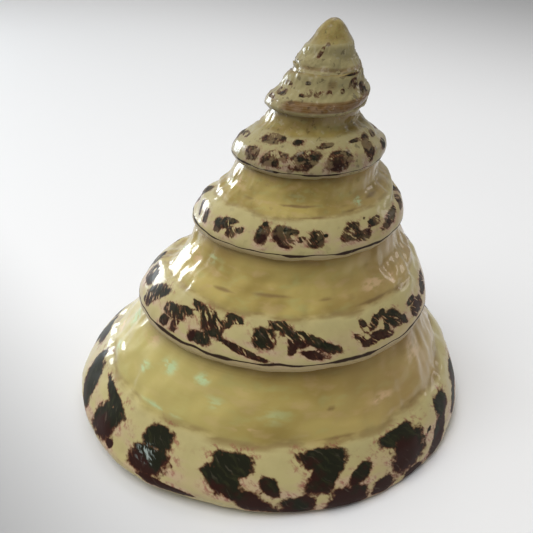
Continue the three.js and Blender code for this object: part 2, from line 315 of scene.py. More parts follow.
def relief(phi):
    """How far the whorls stand out of the worn tip: none at the start, whole after one turn."""
    return ramp(phi, FIRST, FIRST + TURN)


def settle(point, phi):
    """Blends a whorl point's height towards the worn tip's."""
    r, z = point
    return r, blend(tip_height(r), z, relief(phi))


def neck(phi):
    """Top of a whorl: the rim of the whorl above, stepped in under its overhang."""
    r, z = settle(rounding(phi - TURN, RIM_ANGLE), phi - TURN)
    step = OVERHANG * wide(phi - TURN)[0] * np.maximum(relief(phi - TURN), LEAST_STEP)
    return r - step, z - TUCK


def side(phi, s):
    """Side of a whorl: a cubic Bezier curve from the neck, along the slope, to the widest line."""
    nr, nz = neck(phi)
    g, wr, wz = wide(phi)
    t = 1 - (1 - s) ** SIDE_EASE
    k = 1 - t
    drop = np.minimum(SIDE_PULL * g * math.sin(SLOPE), SIDE_DROP * (nz - wz))
    weights = k ** 3, 3 * k * k * t, 3 * k * t * t, t ** 3
    r = sum(w * p for w, p in zip(weights, (nr, nr + SIDE_PULL * g * math.cos(SLOPE), wr, wr)))
    z = sum(w * p for w, p in zip(weights, (nz, nz - drop, wz + EDGE_PULL * g, wz)))
    return settle((r, z), phi)


def under(phi, s):
    """Base: a power curve from its edge (s = 0) up to the axis (s = 1)."""
    r, z = rounding(phi, math.pi / 2)
    return r * (1 - s), blend(AXIS_LOW, z, (1 - s) ** BASE_CURVE)


def slanted(phi, share):
    """Angle of a point: near the lip the lower points lag by their share, which slants the lip."""
    return phi - LIP_BACK * ramp(phi, END - LIP_RUN, END) * share


def turned(point, phi):
    """Radius and height at an angle as x, y, z; the angle runs clockwise seen from above."""
    r, z = point
    return np.stack(np.broadcast_arrays(r * np.cos(phi), -r * np.sin(phi), z), -1)


def grid_faces(index):
    """Quads between neighbouring columns of a grid of vertex numbers, facing outwards."""
    corners = index[:-1, :-1], index[1:, :-1], index[1:, 1:], index[:-1, 1:]
    return np.stack(corners, -1).reshape(-1, 4)


class Surface:
    """Vertices, faces and per-vertex values, gathered block by block."""

    def __init__(self):
        self.points, self.values, self.faces, self.count = [], [], [], 0

    def add(self, points, **values):
        """Adds a block of points with their values and returns their vertex numbers in its shape."""
        shape = points.shape[:-1]
        self.points.append(points.reshape(-1, 3))
        size = int(np.prod(shape))
        self.values.append({k: np.broadcast_to(v, shape).reshape(-1) for k, v in values.items()})
        self.count += size
        return np.arange(self.count - size, self.count).reshape(shape)

    def join(self, faces):
        """Adds faces as rows of vertex numbers, three or four in a row."""
        self.faces.append(np.asarray(faces))

    def finished(self):
        """All points, values, triangles and quads, without the vertices that no face uses."""
        points = np.concatenate(self.points)
        values = {k: np.concatenate([v[k] for v in self.values]) for k in self.values[0]}
        triangles = np.concatenate([f for f in self.faces if f.shape[1] == 3])
        quads = np.concatenate([f for f in self.faces if f.shape[1] == 4])
        used = np.zeros(len(points), bool)
        used[triangles] = True
        used[quads] = True
        number = np.cumsum(used) - 1
        values = {k: v[used] for k, v in values.items()}
        return points[used], values, number[triangles], number[quads]


def shell_surface():
    """The whole shell in reaches, standing upright on its axis.

    Columns follow the spiral; each holds the side and the visible rounding of one whorl, the last
    turn's go on under the base to the axis, and the first turn's top is closed by the worn tip. The
    lip, the base's end and the roof of the mouth form a loop that is carried back as the hollow.
    """
    s = Surface()
    line = FIRST + TURN * np.arange(COLUMNS + 1) / AROUND
    down = np.arange(SIDE_ROWS + 1) / SIDE_ROWS
    phi = slanted(line[:, None], down[None, :])
    low = slanted(line, 1.0)[:, None]
    angles = RIM_ANGLE * np.arange(1, RIM_ROWS + 1) / RIM_ROWS
    flank = turned(side(phi, down[None, :]), phi)
    edge = turned(settle(rounding(low, angles[None, :]), low), low)
    column = np.concatenate([flank, edge], 1)
    length = np.linalg.norm(np.diff(column, axis=1), axis=2).cumsum(1)
    across = np.concatenate([np.zeros((COLUMNS + 1, 1)), length / length[:, -1:]], 1)
    along = np.concatenate([phi, np.repeat(low, RIM_ROWS, 1)], 1)
    whorls = s.add(column, along=along, across=across, inside=0.0)
    whorls[AROUND, 0] = whorls[0, ROWS]
    s.join(grid_faces(whorls))
    rims, necks = whorls[: COLUMNS - AROUND + 1, ROWS], whorls[AROUND:, 0]
    s.join(grid_faces(np.stack([rims, necks], 1))[1:])
    s.join([[rims[0], rims[1], necks[1]]])

    last = low[COLUMNS - AROUND:]
    turns = RIM_ANGLE + (math.pi / 2 - RIM_ANGLE) * np.arange(1, UNDER_ROWS + 1) / UNDER_ROWS
    inward = np.arange(1, BASE_ROWS) / BASE_ROWS
    foot = turned(rounding(last, turns[None, :]), last)
    floor = turned(under(last, inward[None, :]), last)
    beyond = 1 + 0.1 * np.arange(1, UNDER_ROWS + 1) / UNDER_ROWS
    beyond = np.concatenate([beyond, 1.1 + inward])
    foot = s.add(np.concatenate([foot, floor], 1), along=last, across=beyond[None, :], inside=0.0)
    base = np.concatenate([whorls[COLUMNS - AROUND:, ROWS:], foot], 1)
    axis = s.add(np.array([[0.0, 0.0, AXIS_LOW]]), along=0.0, across=2.1, inside=0.0)[0]
    s.join(grid_faces(base))
    s.join(np.stack([base[:-1, -1], base[1:, -1], np.full(AROUND, axis)], 1))

    start = line[:AROUND, None]
    share = np.arange(1, TIP_ROWS)[None, :] / TIP_ROWS
    radius = neck(start)[0] * share
    worn = s.add(turned((radius, tip_height(radius)), start), along=start, across=-1 + share, inside=0.0)
    worn = np.concatenate([worn, whorls[:AROUND, :1]], 1)
    tip = s.add(np.array([[0.0, 0.0, TIP]]), along=FIRST, across=-1.0, inside=0.0)[0]
    s.join(grid_faces(worn))
    s.join(grid_faces(np.stack([worn[-1], worn[0]])))
    s.join(np.stack([np.full(AROUND, tip), np.roll(worn[:, 0], -1), worn[:, 0]], 1))
    seam = whorls[0]
    s.join(np.stack([np.full(ROWS, worn[-1, -1]), seam[:-1], seam[1:]], 1))

    mouth_surface(s, whorls[-1], base[-1, 1:], axis, base[0])
    return s.finished()


def mouth_surface(s, lip, lip_base, axis, roof):
    """The mouth and the hollow behind it.

    The loop of lip, pillar and roof is drawn in by the wall's thickness. Its section, as shares of
    the whorl's radius and height, is then carried back along the spiral, narrowing at the throat.
    """
    loop = np.concatenate([lip, lip_base, [axis], roof[::-1]])
    points = np.concatenate(s.points)[loop]
    inward = np.concatenate([np.zeros(UNDER_ROWS), np.arange(1, BASE_ROWS) / BASE_ROWS])
    passed = np.concatenate([np.zeros(ROWS + 1), inward, [1.0], 2 - inward[::-1], [2.0]])
    share = np.concatenate([np.arange(SIDE_ROWS + 1) / SIDE_ROWS, np.ones(len(loop) - SIDE_ROWS - 1)])
    angle = blend(slanted(END, share), END, ramp(passed, 0.6, 1.6))
    section = np.stack([np.hypot(points[:, 0], points[:, 1]), points[:, 2]], -1)
    corner = int(np.argmax(passed >= 2 - 1 / 5))
    ease = np.clip((np.arange(len(loop)) - corner) / (len(loop) - corner), 0, 1)[:, None]
    eased = np.where(ease > 0, blend(section[corner], section[0], ease), section)
    out = eased - (MOUTH_R, MOUTH_Z)
    reach = np.linalg.norm(out, axis=1)
    limit = np.where(eased[:, 0] < MOUTH_R, MOUTH_IN, 1.0)
    mouth = (MOUTH_R, MOUTH_Z) + out * (np.minimum(reach - WALL, limit) / reach)[:, None]

    def span(phi):
        return wide(phi)[1], rounding(phi, math.pi / 2)[1], neck(phi)[1]

    r, low, high = span(angle)
    share_r, share_z = mouth[:, 0] / r, (mouth[:, 1] - low) / (high - low)
    back = DEPTH * np.arange(DEEP_ROWS + 1)[:, None] / DEEP_ROWS
    narrow = THROAT * ramp(back, -THROAT_RUN / 4, THROAT_RUN)
    narrow += TAPER * ramp(back, DEPTH - THROAT_RUN, DEPTH)
    phi = angle[None, :] - back
    r, low, high = span(phi)
    radius = r * blend(THROAT_R, share_r[None, :], 1 - narrow)
    height = blend(low, high, blend(THROAT_Z, share_z[None, :], 1 - narrow))
    tube = s.add(turned((radius, height), phi), along=phi, across=0.5, inside=1.0)
    rings = np.concatenate([loop[None, :], tube])
    rings = np.concatenate([rings, rings[:, :1]], 1)
    s.join(grid_faces(rings)[:, ::-1])
    end_phi = END - LIP_BACK / 2 - DEPTH
    r, low, high = span(end_phi)
    end = turned((THROAT_R * r, blend(low, high, THROAT_Z)), end_phi)
    deep = s.add(end[None, :], along=end_phi, across=0.5, inside=1.0)[0]
    ring = rings[-1]
    s.join(np.stack([ring[1:], ring[:-1], np.full(len(loop), deep)], 1))


def standing(points, reach, lean, pitch):
    """Turns the upright shell to its lean and pitch, sets it on the ground and grows it to size."""
    turn = Matrix.Rotation(pitch, 3, "X") @ Matrix.Rotation(lean, 3, "Y")
    points = points @ np.array(turn).T
    points[:, 2] -= STAND
    return points * reach


def blotch_list():
    """Every blotch as whorl turns, angle and sizes: those of the shown side, and random ones behind."""
    rows = [(-n, *mark, 0)[:6] for n, marks in enumerate(BLOTCHES) for mark in marks]
    random = np.random.default_rng(HIDDEN_SEED)
    for n in range(len(BLOTCHES)):
        for angle in np.arange(HIDDEN_FROM, HIDDEN_TO, HIDDEN_STEP * (1 + HIDDEN_WIDEN * n)):
            jitter = random.uniform(-1, 1, 6)
            for k, (sway, length, height, tall) in enumerate(HIDDEN_ROWS):
                place, size = angle + sway * jitter[2 * k], length + 1.5 * jitter[2 * k + 1]
                rows.append((-n, place, size, height, tall, 20 * jitter[4 + k]))
    return rows


def ink_field(along, across):
    """How deep a point lies in the nearest blotch: 1 at the middle of a slanted oblong, 0 at its edge.

    The oblong is a superellipse of the third power, sheared along the whorl by its slant.
    """
    field = np.full(len(along), -1.0)
    degrees = np.degrees(along)
    for turns, angle, length, height, tall, slant in blotch_list():
        near = np.abs(degrees - angle - 360 * turns) < 3 * length + abs(slant) * 3 * tall
        off = across[near] - height
        slide = (degrees[near] - angle - 360 * turns - slant * off) / length
        size = (np.abs(slide) ** 3 + np.abs(off / tall) ** 3) ** (1 / 3)
        field[near] = np.maximum(field[near], 1 - size)
    return field


def spot_field(spots, along, across):
    """Sum of spots, each its strength times a bell curve in angle and height."""
    field = np.zeros(len(along))
    for turns, angle, length, height, tall, strength in spots:
        slide = (np.degrees(along) - angle + 360 * turns) / length
        field += strength * np.exp(-slide ** 2 - ((across - height) / tall) ** 2)
    return field


def upper(along):
    """1 on the upper whorls, eased to 0 where the last one begins."""
    return 1 - ramp(along, -0.2, 0.4)


def stain_and_shade_field(along, across):
    """Brown under each suture, partly staining and partly painted shade; brown stripes with painted
    shade over the rim of the second whorl from the top; a brown strip over the top whorl's rim; and one
    brown patch.
    """
    wave = 0.02 * lattice_noise(along * 5, 0.0, 20)
    strip = 0.45 * (1 - ramp(across + wave, 0.01, 0.19)) * (across >= 0)
    strip *= ramp(along, -4.2 * TURN, -3.4 * TURN)
    start = 0.62 + 0.10 * ramp(along, -3.66 * TURN, -3.60 * TURN)
    hollow = ramp(across - start, 0.0, 0.06) * (1 - ramp(across, 0.86, 0.91))
    hollow *= ramp(along, -3.98 * TURN, -3.92 * TURN) * (1 - ramp(along, -3.64 * TURN, -3.60 * TURN))
    ledge = ramp(across, 0.66, 0.74) * (1 - ramp(across, 0.78, 0.84))
    ledge *= 1 - ramp(along, -4.64 * TURN, -4.60 * TURN)
    patch = np.exp(-((along / TURN + 3.772) / 0.019) ** 4 - ((across - 0.267) / 0.09) ** 4)
    return np.maximum(np.maximum(strip, hollow), np.maximum(0.6 * ledge, 0.6 * patch))


def rim_line_field(along):
    """Height and half height of the dark line over each upper rim, thick and thin along the whorl."""
    thick = 0.75 + 1.1 * lattice_noise(along * 6.5, 0.0, 21)
    wave = 0.008 * lattice_noise(along * 9, 0.0, 22)
    shown = upper(along) * blend(0.6, 1.0, ramp(along, -3.0 * TURN, -2.2 * TURN))
    shown *= ramp(along, -3.7 * TURN, -3.3 * TURN)
    return RIM_LINE + wave, RIM_LINE_HALF * np.clip(thick, 0.45, 1.4) * shown + 1e-4


def band_field(along, across):
    """0 on the pearl above the band, 1 on the cream band, with a soft, slightly wavy border."""
    start = by_whorl(along, BAND_START)
    wave = 0.02 * lattice_noise(along * 6, 0.0, 3)
    return ramp(across - start - wave, -0.03, 0.05), across - start - wave


def by_whorl(along, values):
    """A value given for the front of each whorl, from the last whorl upwards, eased between fronts."""
    place = np.clip(0.25 - along / TURN, 0, len(values) - 1)
    first = np.minimum(place.astype(int), len(values) - 2)
    share = ramp(place - first, 0, 1)
    table = np.array(values)
    return blend(table[first], table[first + 1], share)


def relief_field(points, along, across, border):
    """Height of the grown and polished forms over the smooth whorl, in reaches.

    Long low lumps along the spiral, finer and upright ones between them, crust on the aged whorls, long
    dents, a groove where the band begins, a dip under the suture, a swell of the band, single folds and
    a bead on the rim, which all scale with the size of the whorl; and uneven lumps on the worn tip.
    """
    g = GROWTH ** (along / TURN)
    shown = ramp(across, 0.03, 0.14) * (1 - ramp(across, 1.02, 1.12))
    drift = 0.5 * lattice_noise(along * 3, across * 3, 10)
    lumps = np.zeros(len(along))
    for height, fast, start, tight, top, seed, bend, lean in LUMPS:
        way = along * fast + start + drift * bend
        lumps += height * lattice_noise(way, across * tight + top + drift * lean, seed)
    lumps *= blend(1.0, BAND_CALM, ramp(border, 0.0, 0.1))
    crust = ramp(-along, 3.2 * TURN, 3.8 * TURN) * lattice_noise(along * 13, across * 16, 18)
    lumps += CRUST_HEIGHT * crust - DENT_DEPTH * spot_field(DENTS, along, across)
    groove = -GROOVE_DEPTH * bell(border, 0, GROOVE_HALF)
    wavy = 1 + 0.35 * lattice_noise(along * 7 + 9, 0.0, 14)
    bead = by_whorl(along, RIM_BEAD) * upper(along) * wavy * bell(across, 1.0, 0.05)
    right = np.cos(along)
    dip = by_whorl(along, NECK_DIP) + by_whorl(along, NECK_RIGHT) * right
    dip *= -bell(across, by_whorl(along, DIP_AT), 0.15)
    swell = by_whorl(along, BAND_SWELL) * bell(across, 0.72, 0.18)
    more = by_whorl(along, SWELL_RIGHT) * ramp(right, -0.2, 1.0)
    swell += more * bell(across, 0.62, 0.25)
    pinch = LAST_PINCH * ramp(along, -0.2, 0.3)
    swell -= pinch * ramp(across, 0.80, 0.98) * (1 - ramp(across, 1.03, 1.12))
    swell += spot_field(FOLDS, along, across)
    x, y, z = points.T
    worn = 1 - ramp(np.hypot(x, y), 0.12, 0.24)
    knobs = lattice_noise(x * 22 + 50, z * 22, 15) + lattice_noise(y * 22 + 80, z * 22 + 30, 16)
    tip = worn * (TIP_SWELL + TIP_KNOBS * knobs)
    on_whorl = across >= 0
    return g * (shown * (lumps + groove) * on_whorl + bead + (dip + swell) * on_whorl) + tip


class Value:
    """A shader socket that can be used in Python arithmetic; each operation adds a Math node."""

    def __init__(self, shader, socket):
        self.shader, self.socket = shader, socket

    def math(self, operation, *others):
        return self.shader.math(operation, self, *others)

    def __add__(self, other):
        return self.math("ADD", other)

    __radd__ = __add__

    def __sub__(self, other):
        return self.math("SUBTRACT", other)

    def __rsub__(self, other):
        return self.shader.math("SUBTRACT", other, self)

    def __mul__(self, other):
        return self.math("MULTIPLY", other)

    def __truediv__(self, other):
        return self.math("DIVIDE", other)


class Shader:
    """The nodes of a material or a world, written as expressions."""

    def __init__(self, owner):
        owner.use_nodes = True
        self.owner = owner
        self.tree = owner.node_tree
        self.tree.nodes.clear()

    def node(self, kind, settings=None, sockets=None):
        """A node of a kind with its settings, and values or links for its sockets by name or number."""
        node = self.tree.nodes.new("ShaderNode" + kind)
        for name, value in (settings or {}).items():
            setattr(node, name, value)
        for name, value in (sockets or {}).items():
            socket = node.inputs[name]
            source = value.socket if isinstance(value, Value) else value
            if isinstance(source, bpy.types.NodeSocket):
                self.tree.links.new(source, socket)
            else:
                socket.default_value = source
        return node

    def value(self, node, output=0):
        return Value(self, node.outputs[output])

    def math(self, operation, *operands):
        return self.value(self.node("Math", {"operation": operation}, dict(enumerate(operands))))

    def attribute(self, name):
        return self.value(self.node("Attribute", {"attribute_name": name}), "Fac")

    def step(self, value, low, high):
        """Smooth step of a value between two limits."""
        sockets = {"Value": value, "From Min": low, "From Max": high}
        return self.value(self.node("MapRange", {"interpolation_type": "SMOOTHSTEP"}, sockets))

    def noise(self, vector, scale, detail=3.0, roughness=0.6):
        sockets = {"Vector": vector, "Scale": scale, "Detail": detail, "Roughness": roughness}
        return self.value(self.node("TexNoise", None, sockets), 0)

    def vector(self, x, y, z=0.0):
        return self.value(self.node("CombineXYZ", None, {0: x, 1: y, 2: z}))

    def mix(self, factor, a, b, blend_type="MIX"):
        """Colour a where the factor is 0, colour b where it is 1."""
        settings = {"data_type": "RGBA", "blend_type": blend_type}
        return self.value(self.node("Mix", settings, {0: factor, 6: a, 7: b}), 2)

    def layers(self, colour, *coats):
        """A colour under coats, each an amount and a colour, laid on in turn."""
        for amount, coat in coats:
            colour = self.mix(amount, colour, coat)
        return colour

    def finish(self, **sockets):
        """Principled shader with these sockets, as the surface."""
        named = {name.replace("_", " "): value for name, value in sockets.items()}
        principled = self.node("BsdfPrincipled", None, named)
        self.node("OutputMaterial", None, {"Surface": principled.outputs[0]})
        return self.owner


def pearl_material(tint):
    """Polished shell: olive pearl, a cream band with dark ragged blotches, and silver pearl inside."""
    sh = Shader(bpy.data.materials.new("polished_pearl"))
    place = sh.value(sh.node("TexCoord"), "Object")
    step, mix, noise = sh.step, sh.mix, sh.noise
    names = "along across ink band inside broken age warm".split()
    along, across, ink, band, inside, broken, age, warm = map(sh.attribute, names)
    growth = along + across * GROWTH_SLANT
    flow = sh.vector(along * 20, across * 6)
    fibre = sh.vector(growth * 220, across * 7)
    ragged = noise(place, 330)
    sweep = sh.vector(along * 250 + across * 33 + ragged * 3, across * 6 - along * 45)

    broad = noise(flow, 0.55, 2, 0.5)
    patch = noise(flow, 1.7, 3, 0.5)
    fine = noise(place, 900)
    torn = noise(fibre, 1)
    brush = noise(sweep, 0.8)

    # Painted glints: coloured patches of painted sheen, partly the pearl's own tint.
    painted_glint = sh.attribute("painted_glint") * step(noise(flow, 3.5, 3, 0.5), 0.3, 0.6) * 1.3
    pearl = sh.layers(
        tint.pearl_dark,
        # Broad light and dark patches: partly the pearl's own mottling, partly painted shading of lumps.
        (0.2 + step(broad, 0.34, 0.64) * 0.8, tint.pearl_light),
        (step(patch, 0.52, 0.72) * 0.35, tint.pearl_green),
        (step(patch, 0.48, 0.3) * 0.35, tint.pearl_rose),
        # Browner right side: partly the pearl's own tint, partly painted shade of the side away from the
        # light.
        (warm * 0.6, tint.pearl_tint_and_shade),
        # Paler green left side of the last whorl: partly the pearl's own tint, partly painted light.
        (sh.attribute("tint_and_light_left") * 0.6, tint.pearl_tint_and_light),
        (step(painted_glint, 0.1, 0.9) * 0.8, tint.painted_glint_green),
        (step(painted_glint, -0.1, -0.9) * 0.65, tint.painted_glint_rose),
    )

    cream = sh.layers(
        tint.cream,
        (step(ragged, 0.35, 0.75) * 0.35, tint.cream_shade),
        (step(torn, 0.55, 0.85) * 0.25, tint.cream_shade),
        (warm * step(across, 0.55, 0.75) * 0.35, tint.pearl_tint_and_shade),
    )
    colour = mix(band, pearl, cream)
    # Painted shade in the groove where the band begins, and in the long dents.
    seam = band * (1 - band) * (1 - age) * step(patch, 0.36, 0.56)
    dent_shade = step(sh.attribute("dent_shade") + (patch - 0.5) * 0.8, 0.25, 0.8)
    colour = mix(seam * 2.6 + dent_shade * 0.85, colour, tint.brown_shade)
    # Brown under the rims and in the recess: partly staining with stripes, partly painted shade.
    stripe = noise(sh.vector(along * 3, across * 45), 1, 2, 0.5)
    stain_and_shade = sh.attribute("stain_and_shade") * (0.8 + step(stripe, 0.4, 0.6) * 0.2)
    colour = mix(stain_and_shade * 0.97, colour, tint.suture_stain_and_shade)

    fresh = 1 - age * 0.85
    deep = ink + 0.05 + broken * 0.3 + (ragged - 0.5) * 0.9 + (fine - 0.5) * 0.5
    deep = deep + (brush - 0.5) * (0.35 + broken * 1.2) * fresh
    wear = noise(sweep, 0.9, 3, 0.5) * fresh + noise(place, 420) * (1 - fresh)
    wear = wear * 0.6 + ragged * 0.4 + broken * 0.25
    frayed = step(broken, 0.12, 0.2)
    worn, fringe = frayed * step(wear, 0.64, 0.69), frayed * step(wear, 0.6, 0.65)
    rust = age * 0.8 * step(noise(place, 520), 0.46, 0.58)
    dark = step(deep, -0.1, 0.16) * (1 - worn) * (1 - rust * 0.35)
    blush = step(ink, -1.6, 0) * step(patch, 0.38, 0.62) * step(across, 0.6, 0.8)
    colour = mix(blush * 0.9, colour, tint.blush)
    vein = step(noise(sweep, 1.3) * 0.5 + fine * 0.5, 0.47, 0.59)
    halo = step(deep, -0.75, -0.05) * vein * step(patch, 0.42, 0.56)
    colour = mix(halo * (0.75 - broken * 0.8), colour, tint.fleck_red)
    tone = noise(place, 150) + (across - 0.72) * 0.9
    scratch = noise(sweep, 1, 1, 0.5)
    blotch = sh.layers(
        tint.blotch_green,
        (step(brush, 0.5, 0.7) * 0.7, tint.blotch_moss),
        (step(tone, 0.5, 0.64), tint.blotch_maroon),
        ((broken * 0.4 + age * 0.6) * step(ragged, 0.4, 0.56), tint.blotch_brown),
        (step(deep, 0.26, 0.02) * 0.7, tint.blotch_edge),
        (fringe * 0.65, tint.blotch_edge),
        (rust * 0.8, tint.blotch_rust),
        (step(scratch, 0.62, 0.76) * 0.25, tint.blotch_pale),
    )
    colour = mix(dark, colour, blotch)
    # Painted highlight: a pale patch laid on a blotch where the glints are strong.
    painted_highlight_mask = step(painted_glint, 0.2, 0.7) * dark * step(brush, 0.46, 0.58)
    colour = mix(painted_highlight_mask * 0.7, colour, tint.painted_highlight)

    edge = sh.attribute("rim")
    # Rim edge browner on the right side: partly its own tint, partly painted shade.
    lip = mix(warm * 0.8, tint.rim_pale, tint.brown_shade)
    colour = mix(step(edge, 0.3, 0.6) * (0.7 - age * 0.6), colour, lip)
    away = sh.math("ABSOLUTE", across - sh.attribute("line_at")) / sh.attribute("line_half")
    line = step(away + (ragged - 0.5) * 1.2, 1.2, 0.6)
    colour = mix(line * 0.98, colour, tint.rim_black)
    base, cord = sh.attribute("base"), sh.math("SINE", across * 95)
    flame = noise(sh.vector(along * 24 + across * 1.5, across * 2), 1)
    below = sh.layers(
        tint.cream,
        (step(cord, -0.2, 0.8) * 0.6, tint.cream_shade),
        (step(flame, 0.52, 0.62) * step(across, 1.85, 1.25) * 0.7, tint.flame_brown),
        (step(across, 1.7, 1.98), tint.inner_pearl),
    )
    colour = mix(base, colour, below)
    crust = noise(place, 620)
    colour = mix(step(crust, 0.58, 0.68) * age * 0.55, colour, tint.blotch_brown)
    # Pale specks of the aged whorls: partly pale crust, partly painted highlights on their bumps.
    colour = mix(step(crust, 0.4, 0.3) * age * 0.3, colour, tint.crust_and_highlight)
    colour = mix(age, colour, tint.aged, "MULTIPLY")
    colour = mix(inside, colour, tint.inner_pearl)

    roughness = 0.38 - band * 0.06 + dark * 0.22 + line * 0.3 + (patch - 0.5) * 0.12
    metal = (1 - band) * (1 - inside * 0.4) * 0.09
    gloss = (0.7 - band * 0.25) * (1 - dark * 0.8) * (1 - line) * step(across, 1, 0.86)
    grain = (ragged * 0.6 + fine * 0.4) * (1 + age * 4) + base * cord * 2.5
    bump = sh.node("Bump", None, {"Strength": 0.08, "Distance": 0.0004, "Height": grain})
    return sh.finish(
        Base_Color=colour,
        Roughness=roughness,
        Metallic=metal,
        Normal=bump.outputs[0],
        IOR=1.5,
        Specular_IOR_Level=0.12,
        Coat_Weight=gloss,
        Coat_Roughness=0.05,
        Coat_IOR=1.45,
    )


def floor_material(colour, shade):
    """Plain pale matt floor with painted shade near the front and far behind."""
    sh = Shader(bpy.data.materials.new("pale_floor"))
    place = sh.node("SeparateXYZ", None, {0: sh.value(sh.node("TexCoord"), "Object")})
    across, depth = sh.value(place, "X"), sh.value(place, "Y")
    # Painted shade towards the front and far behind.
    front = sh.step(depth + across * 1.2, -0.03, -0.135)
    behind = sh.step(depth + across * 0.9, 0.22, 0.65)
    mixed = sh.mix(front * 0.95 + behind * 0.80, colour, shade)
    return sh.finish(Base_Color=mixed, Roughness=0.7)


def mesh_object(name, points, triangles, quads):
    """A mesh object at the origin with smooth faces."""
    mesh = bpy.data.meshes.new(name)
    mesh.vertices.add(len(points))
    mesh.vertices.foreach_set("co", points.astype(np.float32).ravel())
    corners = np.concatenate([triangles.ravel(), quads.ravel()])
    sizes = np.concatenate([np.full(len(triangles), 3), np.full(len(quads), 4)])
    mesh.loops.add(len(corners))
    mesh.loops.foreach_set("vertex_index", corners.astype(np.int32))
    mesh.polygons.add(len(sizes))
    mesh.polygons.foreach_set("loop_start", (np.cumsum(sizes) - sizes).astype(np.int32))
    mesh.polygons.foreach_set("use_smooth", np.ones(len(sizes), bool))
    mesh.update(calc_edges=True)
    mesh.validate()
    made = bpy.data.objects.new(name, mesh)
    bpy.context.scene.collection.objects.link(made)
    return made


def vertex_normals(mesh):
    """The mesh's vertex normals as one array."""
    normals = np.zeros(len(mesh.vertices) * 3, np.float32)
    mesh.vertex_normals.foreach_get("vector", normals)
    return normals.reshape(-1, 3)


def measure(name, description, default, **kind):
    """A number property with its unit or subtype."""
    return bpy.props.FloatProperty(name=name, description=description, default=default, **kind)


def paint(name, description, colour):
    """A colour property, opaque by default."""
    default = (*colour, 1.0)
    return bpy.props.FloatVectorProperty(
        name=name, description=description, default=default, size=4, min=0, max=1, subtype="COLOR"
    )


class ShellSizes(bpy.types.PropertyGroup):
    """Sizes of the shell."""

    reach: measure(
        "Reach",
        "Reference radius of the last whorl, from the width of the solid",
        (CAD_BOX[1].x - CAD_BOX[0].x) / WIDTH_IN_REACHES,
        unit="LENGTH",
    )
    lean: measure("Lean", "Lean of the axis to the right", math.radians(8.0), subtype="ANGLE")
    pitch: measure("Pitch", "Lean of the axis to the front", math.radians(-1.15), subtype="ANGLE")
    relief: measure("Relief", "Strength of the polished lumps", 1.0, subtype="FACTOR")


class ShellFinish(bpy.types.PropertyGroup):
    """Colours of the shell."""

    pearl_dark: paint("Pearl, dark", "Olive pearl in the broad dark patches", (0.325, 0.228, 0.054))
    pearl_light: paint("Pearl, light", "Pale gold pearl", (0.51, 0.395, 0.12))
    pearl_green: paint("Pearl, green", "Green tint of the pearl", (0.44, 0.45, 0.17))
    pearl_rose: paint("Pearl, rose", "Rose tint of the pearl", (0.58, 0.40, 0.20))
    # Browner right side: partly the pearl's own tint, partly painted shade.
    pearl_tint_and_shade: paint("Pearl, warm", "Brown rose pearl of the right side", (0.45, 0.295, 0.125))
    # Paler green left side of the last whorl: partly its own tint, partly painted light.
    pearl_tint_and_light: paint("Pearl, glow", "Pale green pearl, left on the last whorl", (0.62, 0.54, 0.19))
    cream: paint("Cream", "Band below the pearl", (0.52, 0.445, 0.20))
    cream_shade: paint("Cream, shade", "Darker grain of the band", (0.43, 0.35, 0.15))
    # Brown under each rim: partly staining, partly painted shade.
    suture_stain_and_shade: paint("Suture brown", "Stain under each rim", (0.22, 0.10, 0.02))
    blotch_green: paint("Blotch, green", "Green black of the blotches", (0.014, 0.015, 0.007))
    blotch_maroon: paint("Blotch, maroon", "Maroon black of the blotches", (0.03, 0.009, 0.006))
    blotch_pale: paint("Blotch, pale", "Worn specks in the blotches", (0.17, 0.14, 0.10))
    blotch_brown: paint("Blotch, brown", "Brown of the aged blotches", (0.06, 0.032, 0.016))
    blotch_rust: paint("Blotch, rust", "Rust brown of worn blotches", (0.20, 0.105, 0.045))
    blotch_edge: paint("Blotch, edge", "Red brown edge of the blotches", (0.18, 0.065, 0.03))
    blotch_moss: paint("Blotch, moss", "Moss green fibres of the blotches", (0.036, 0.038, 0.014))
    rim_black: paint("Rim line", "Dark line over the rims", (0.03, 0.014, 0.01))
    rim_pale: paint("Rim edge", "Edge below the dark line", (0.46, 0.345, 0.185))
    blush: paint("Blush", "Rose tint of the cream between the blotches", (0.56, 0.40, 0.265))
    fleck_red: paint("Flecks", "Red flecks round the blotches", (0.28, 0.055, 0.05))
    aged: paint("Aged", "Darkening of the upper whorls", (0.61, 0.61, 0.64))
    # Pale specks: partly pale crust, partly painted highlights on bumps.
    crust_and_highlight: paint("Crust", "Pale specks of the aged whorls", (0.80, 0.72, 0.52))
    # Painted shade in the long dents, in the groove over the band, and on the rim's edge on the right.
    brown_shade: paint("Dents", "Brown of the long dents in the pearl", (0.25, 0.16, 0.055))
    # Painted glints: coloured painted sheen of the pearl, partly its own tint.
    painted_glint_green: paint("Gleam, green", "Green gleams of the pearl", (0.54, 0.70, 0.38))
    painted_glint_rose: paint("Gleam, rose", "Rose gleams of the pearl", (0.74, 0.50, 0.28))
    # Painted highlight on a blotch.
    painted_highlight: paint("Gleam, white", "Pale gleam on a blotch", (0.46, 0.54, 0.50))
    flame_brown: paint("Flames", "Red brown flames on the base", (0.24, 0.11, 0.06))
    inner_pearl: paint("Inner pearl", "Silver pearl of the mouth", (0.62, 0.60, 0.52))


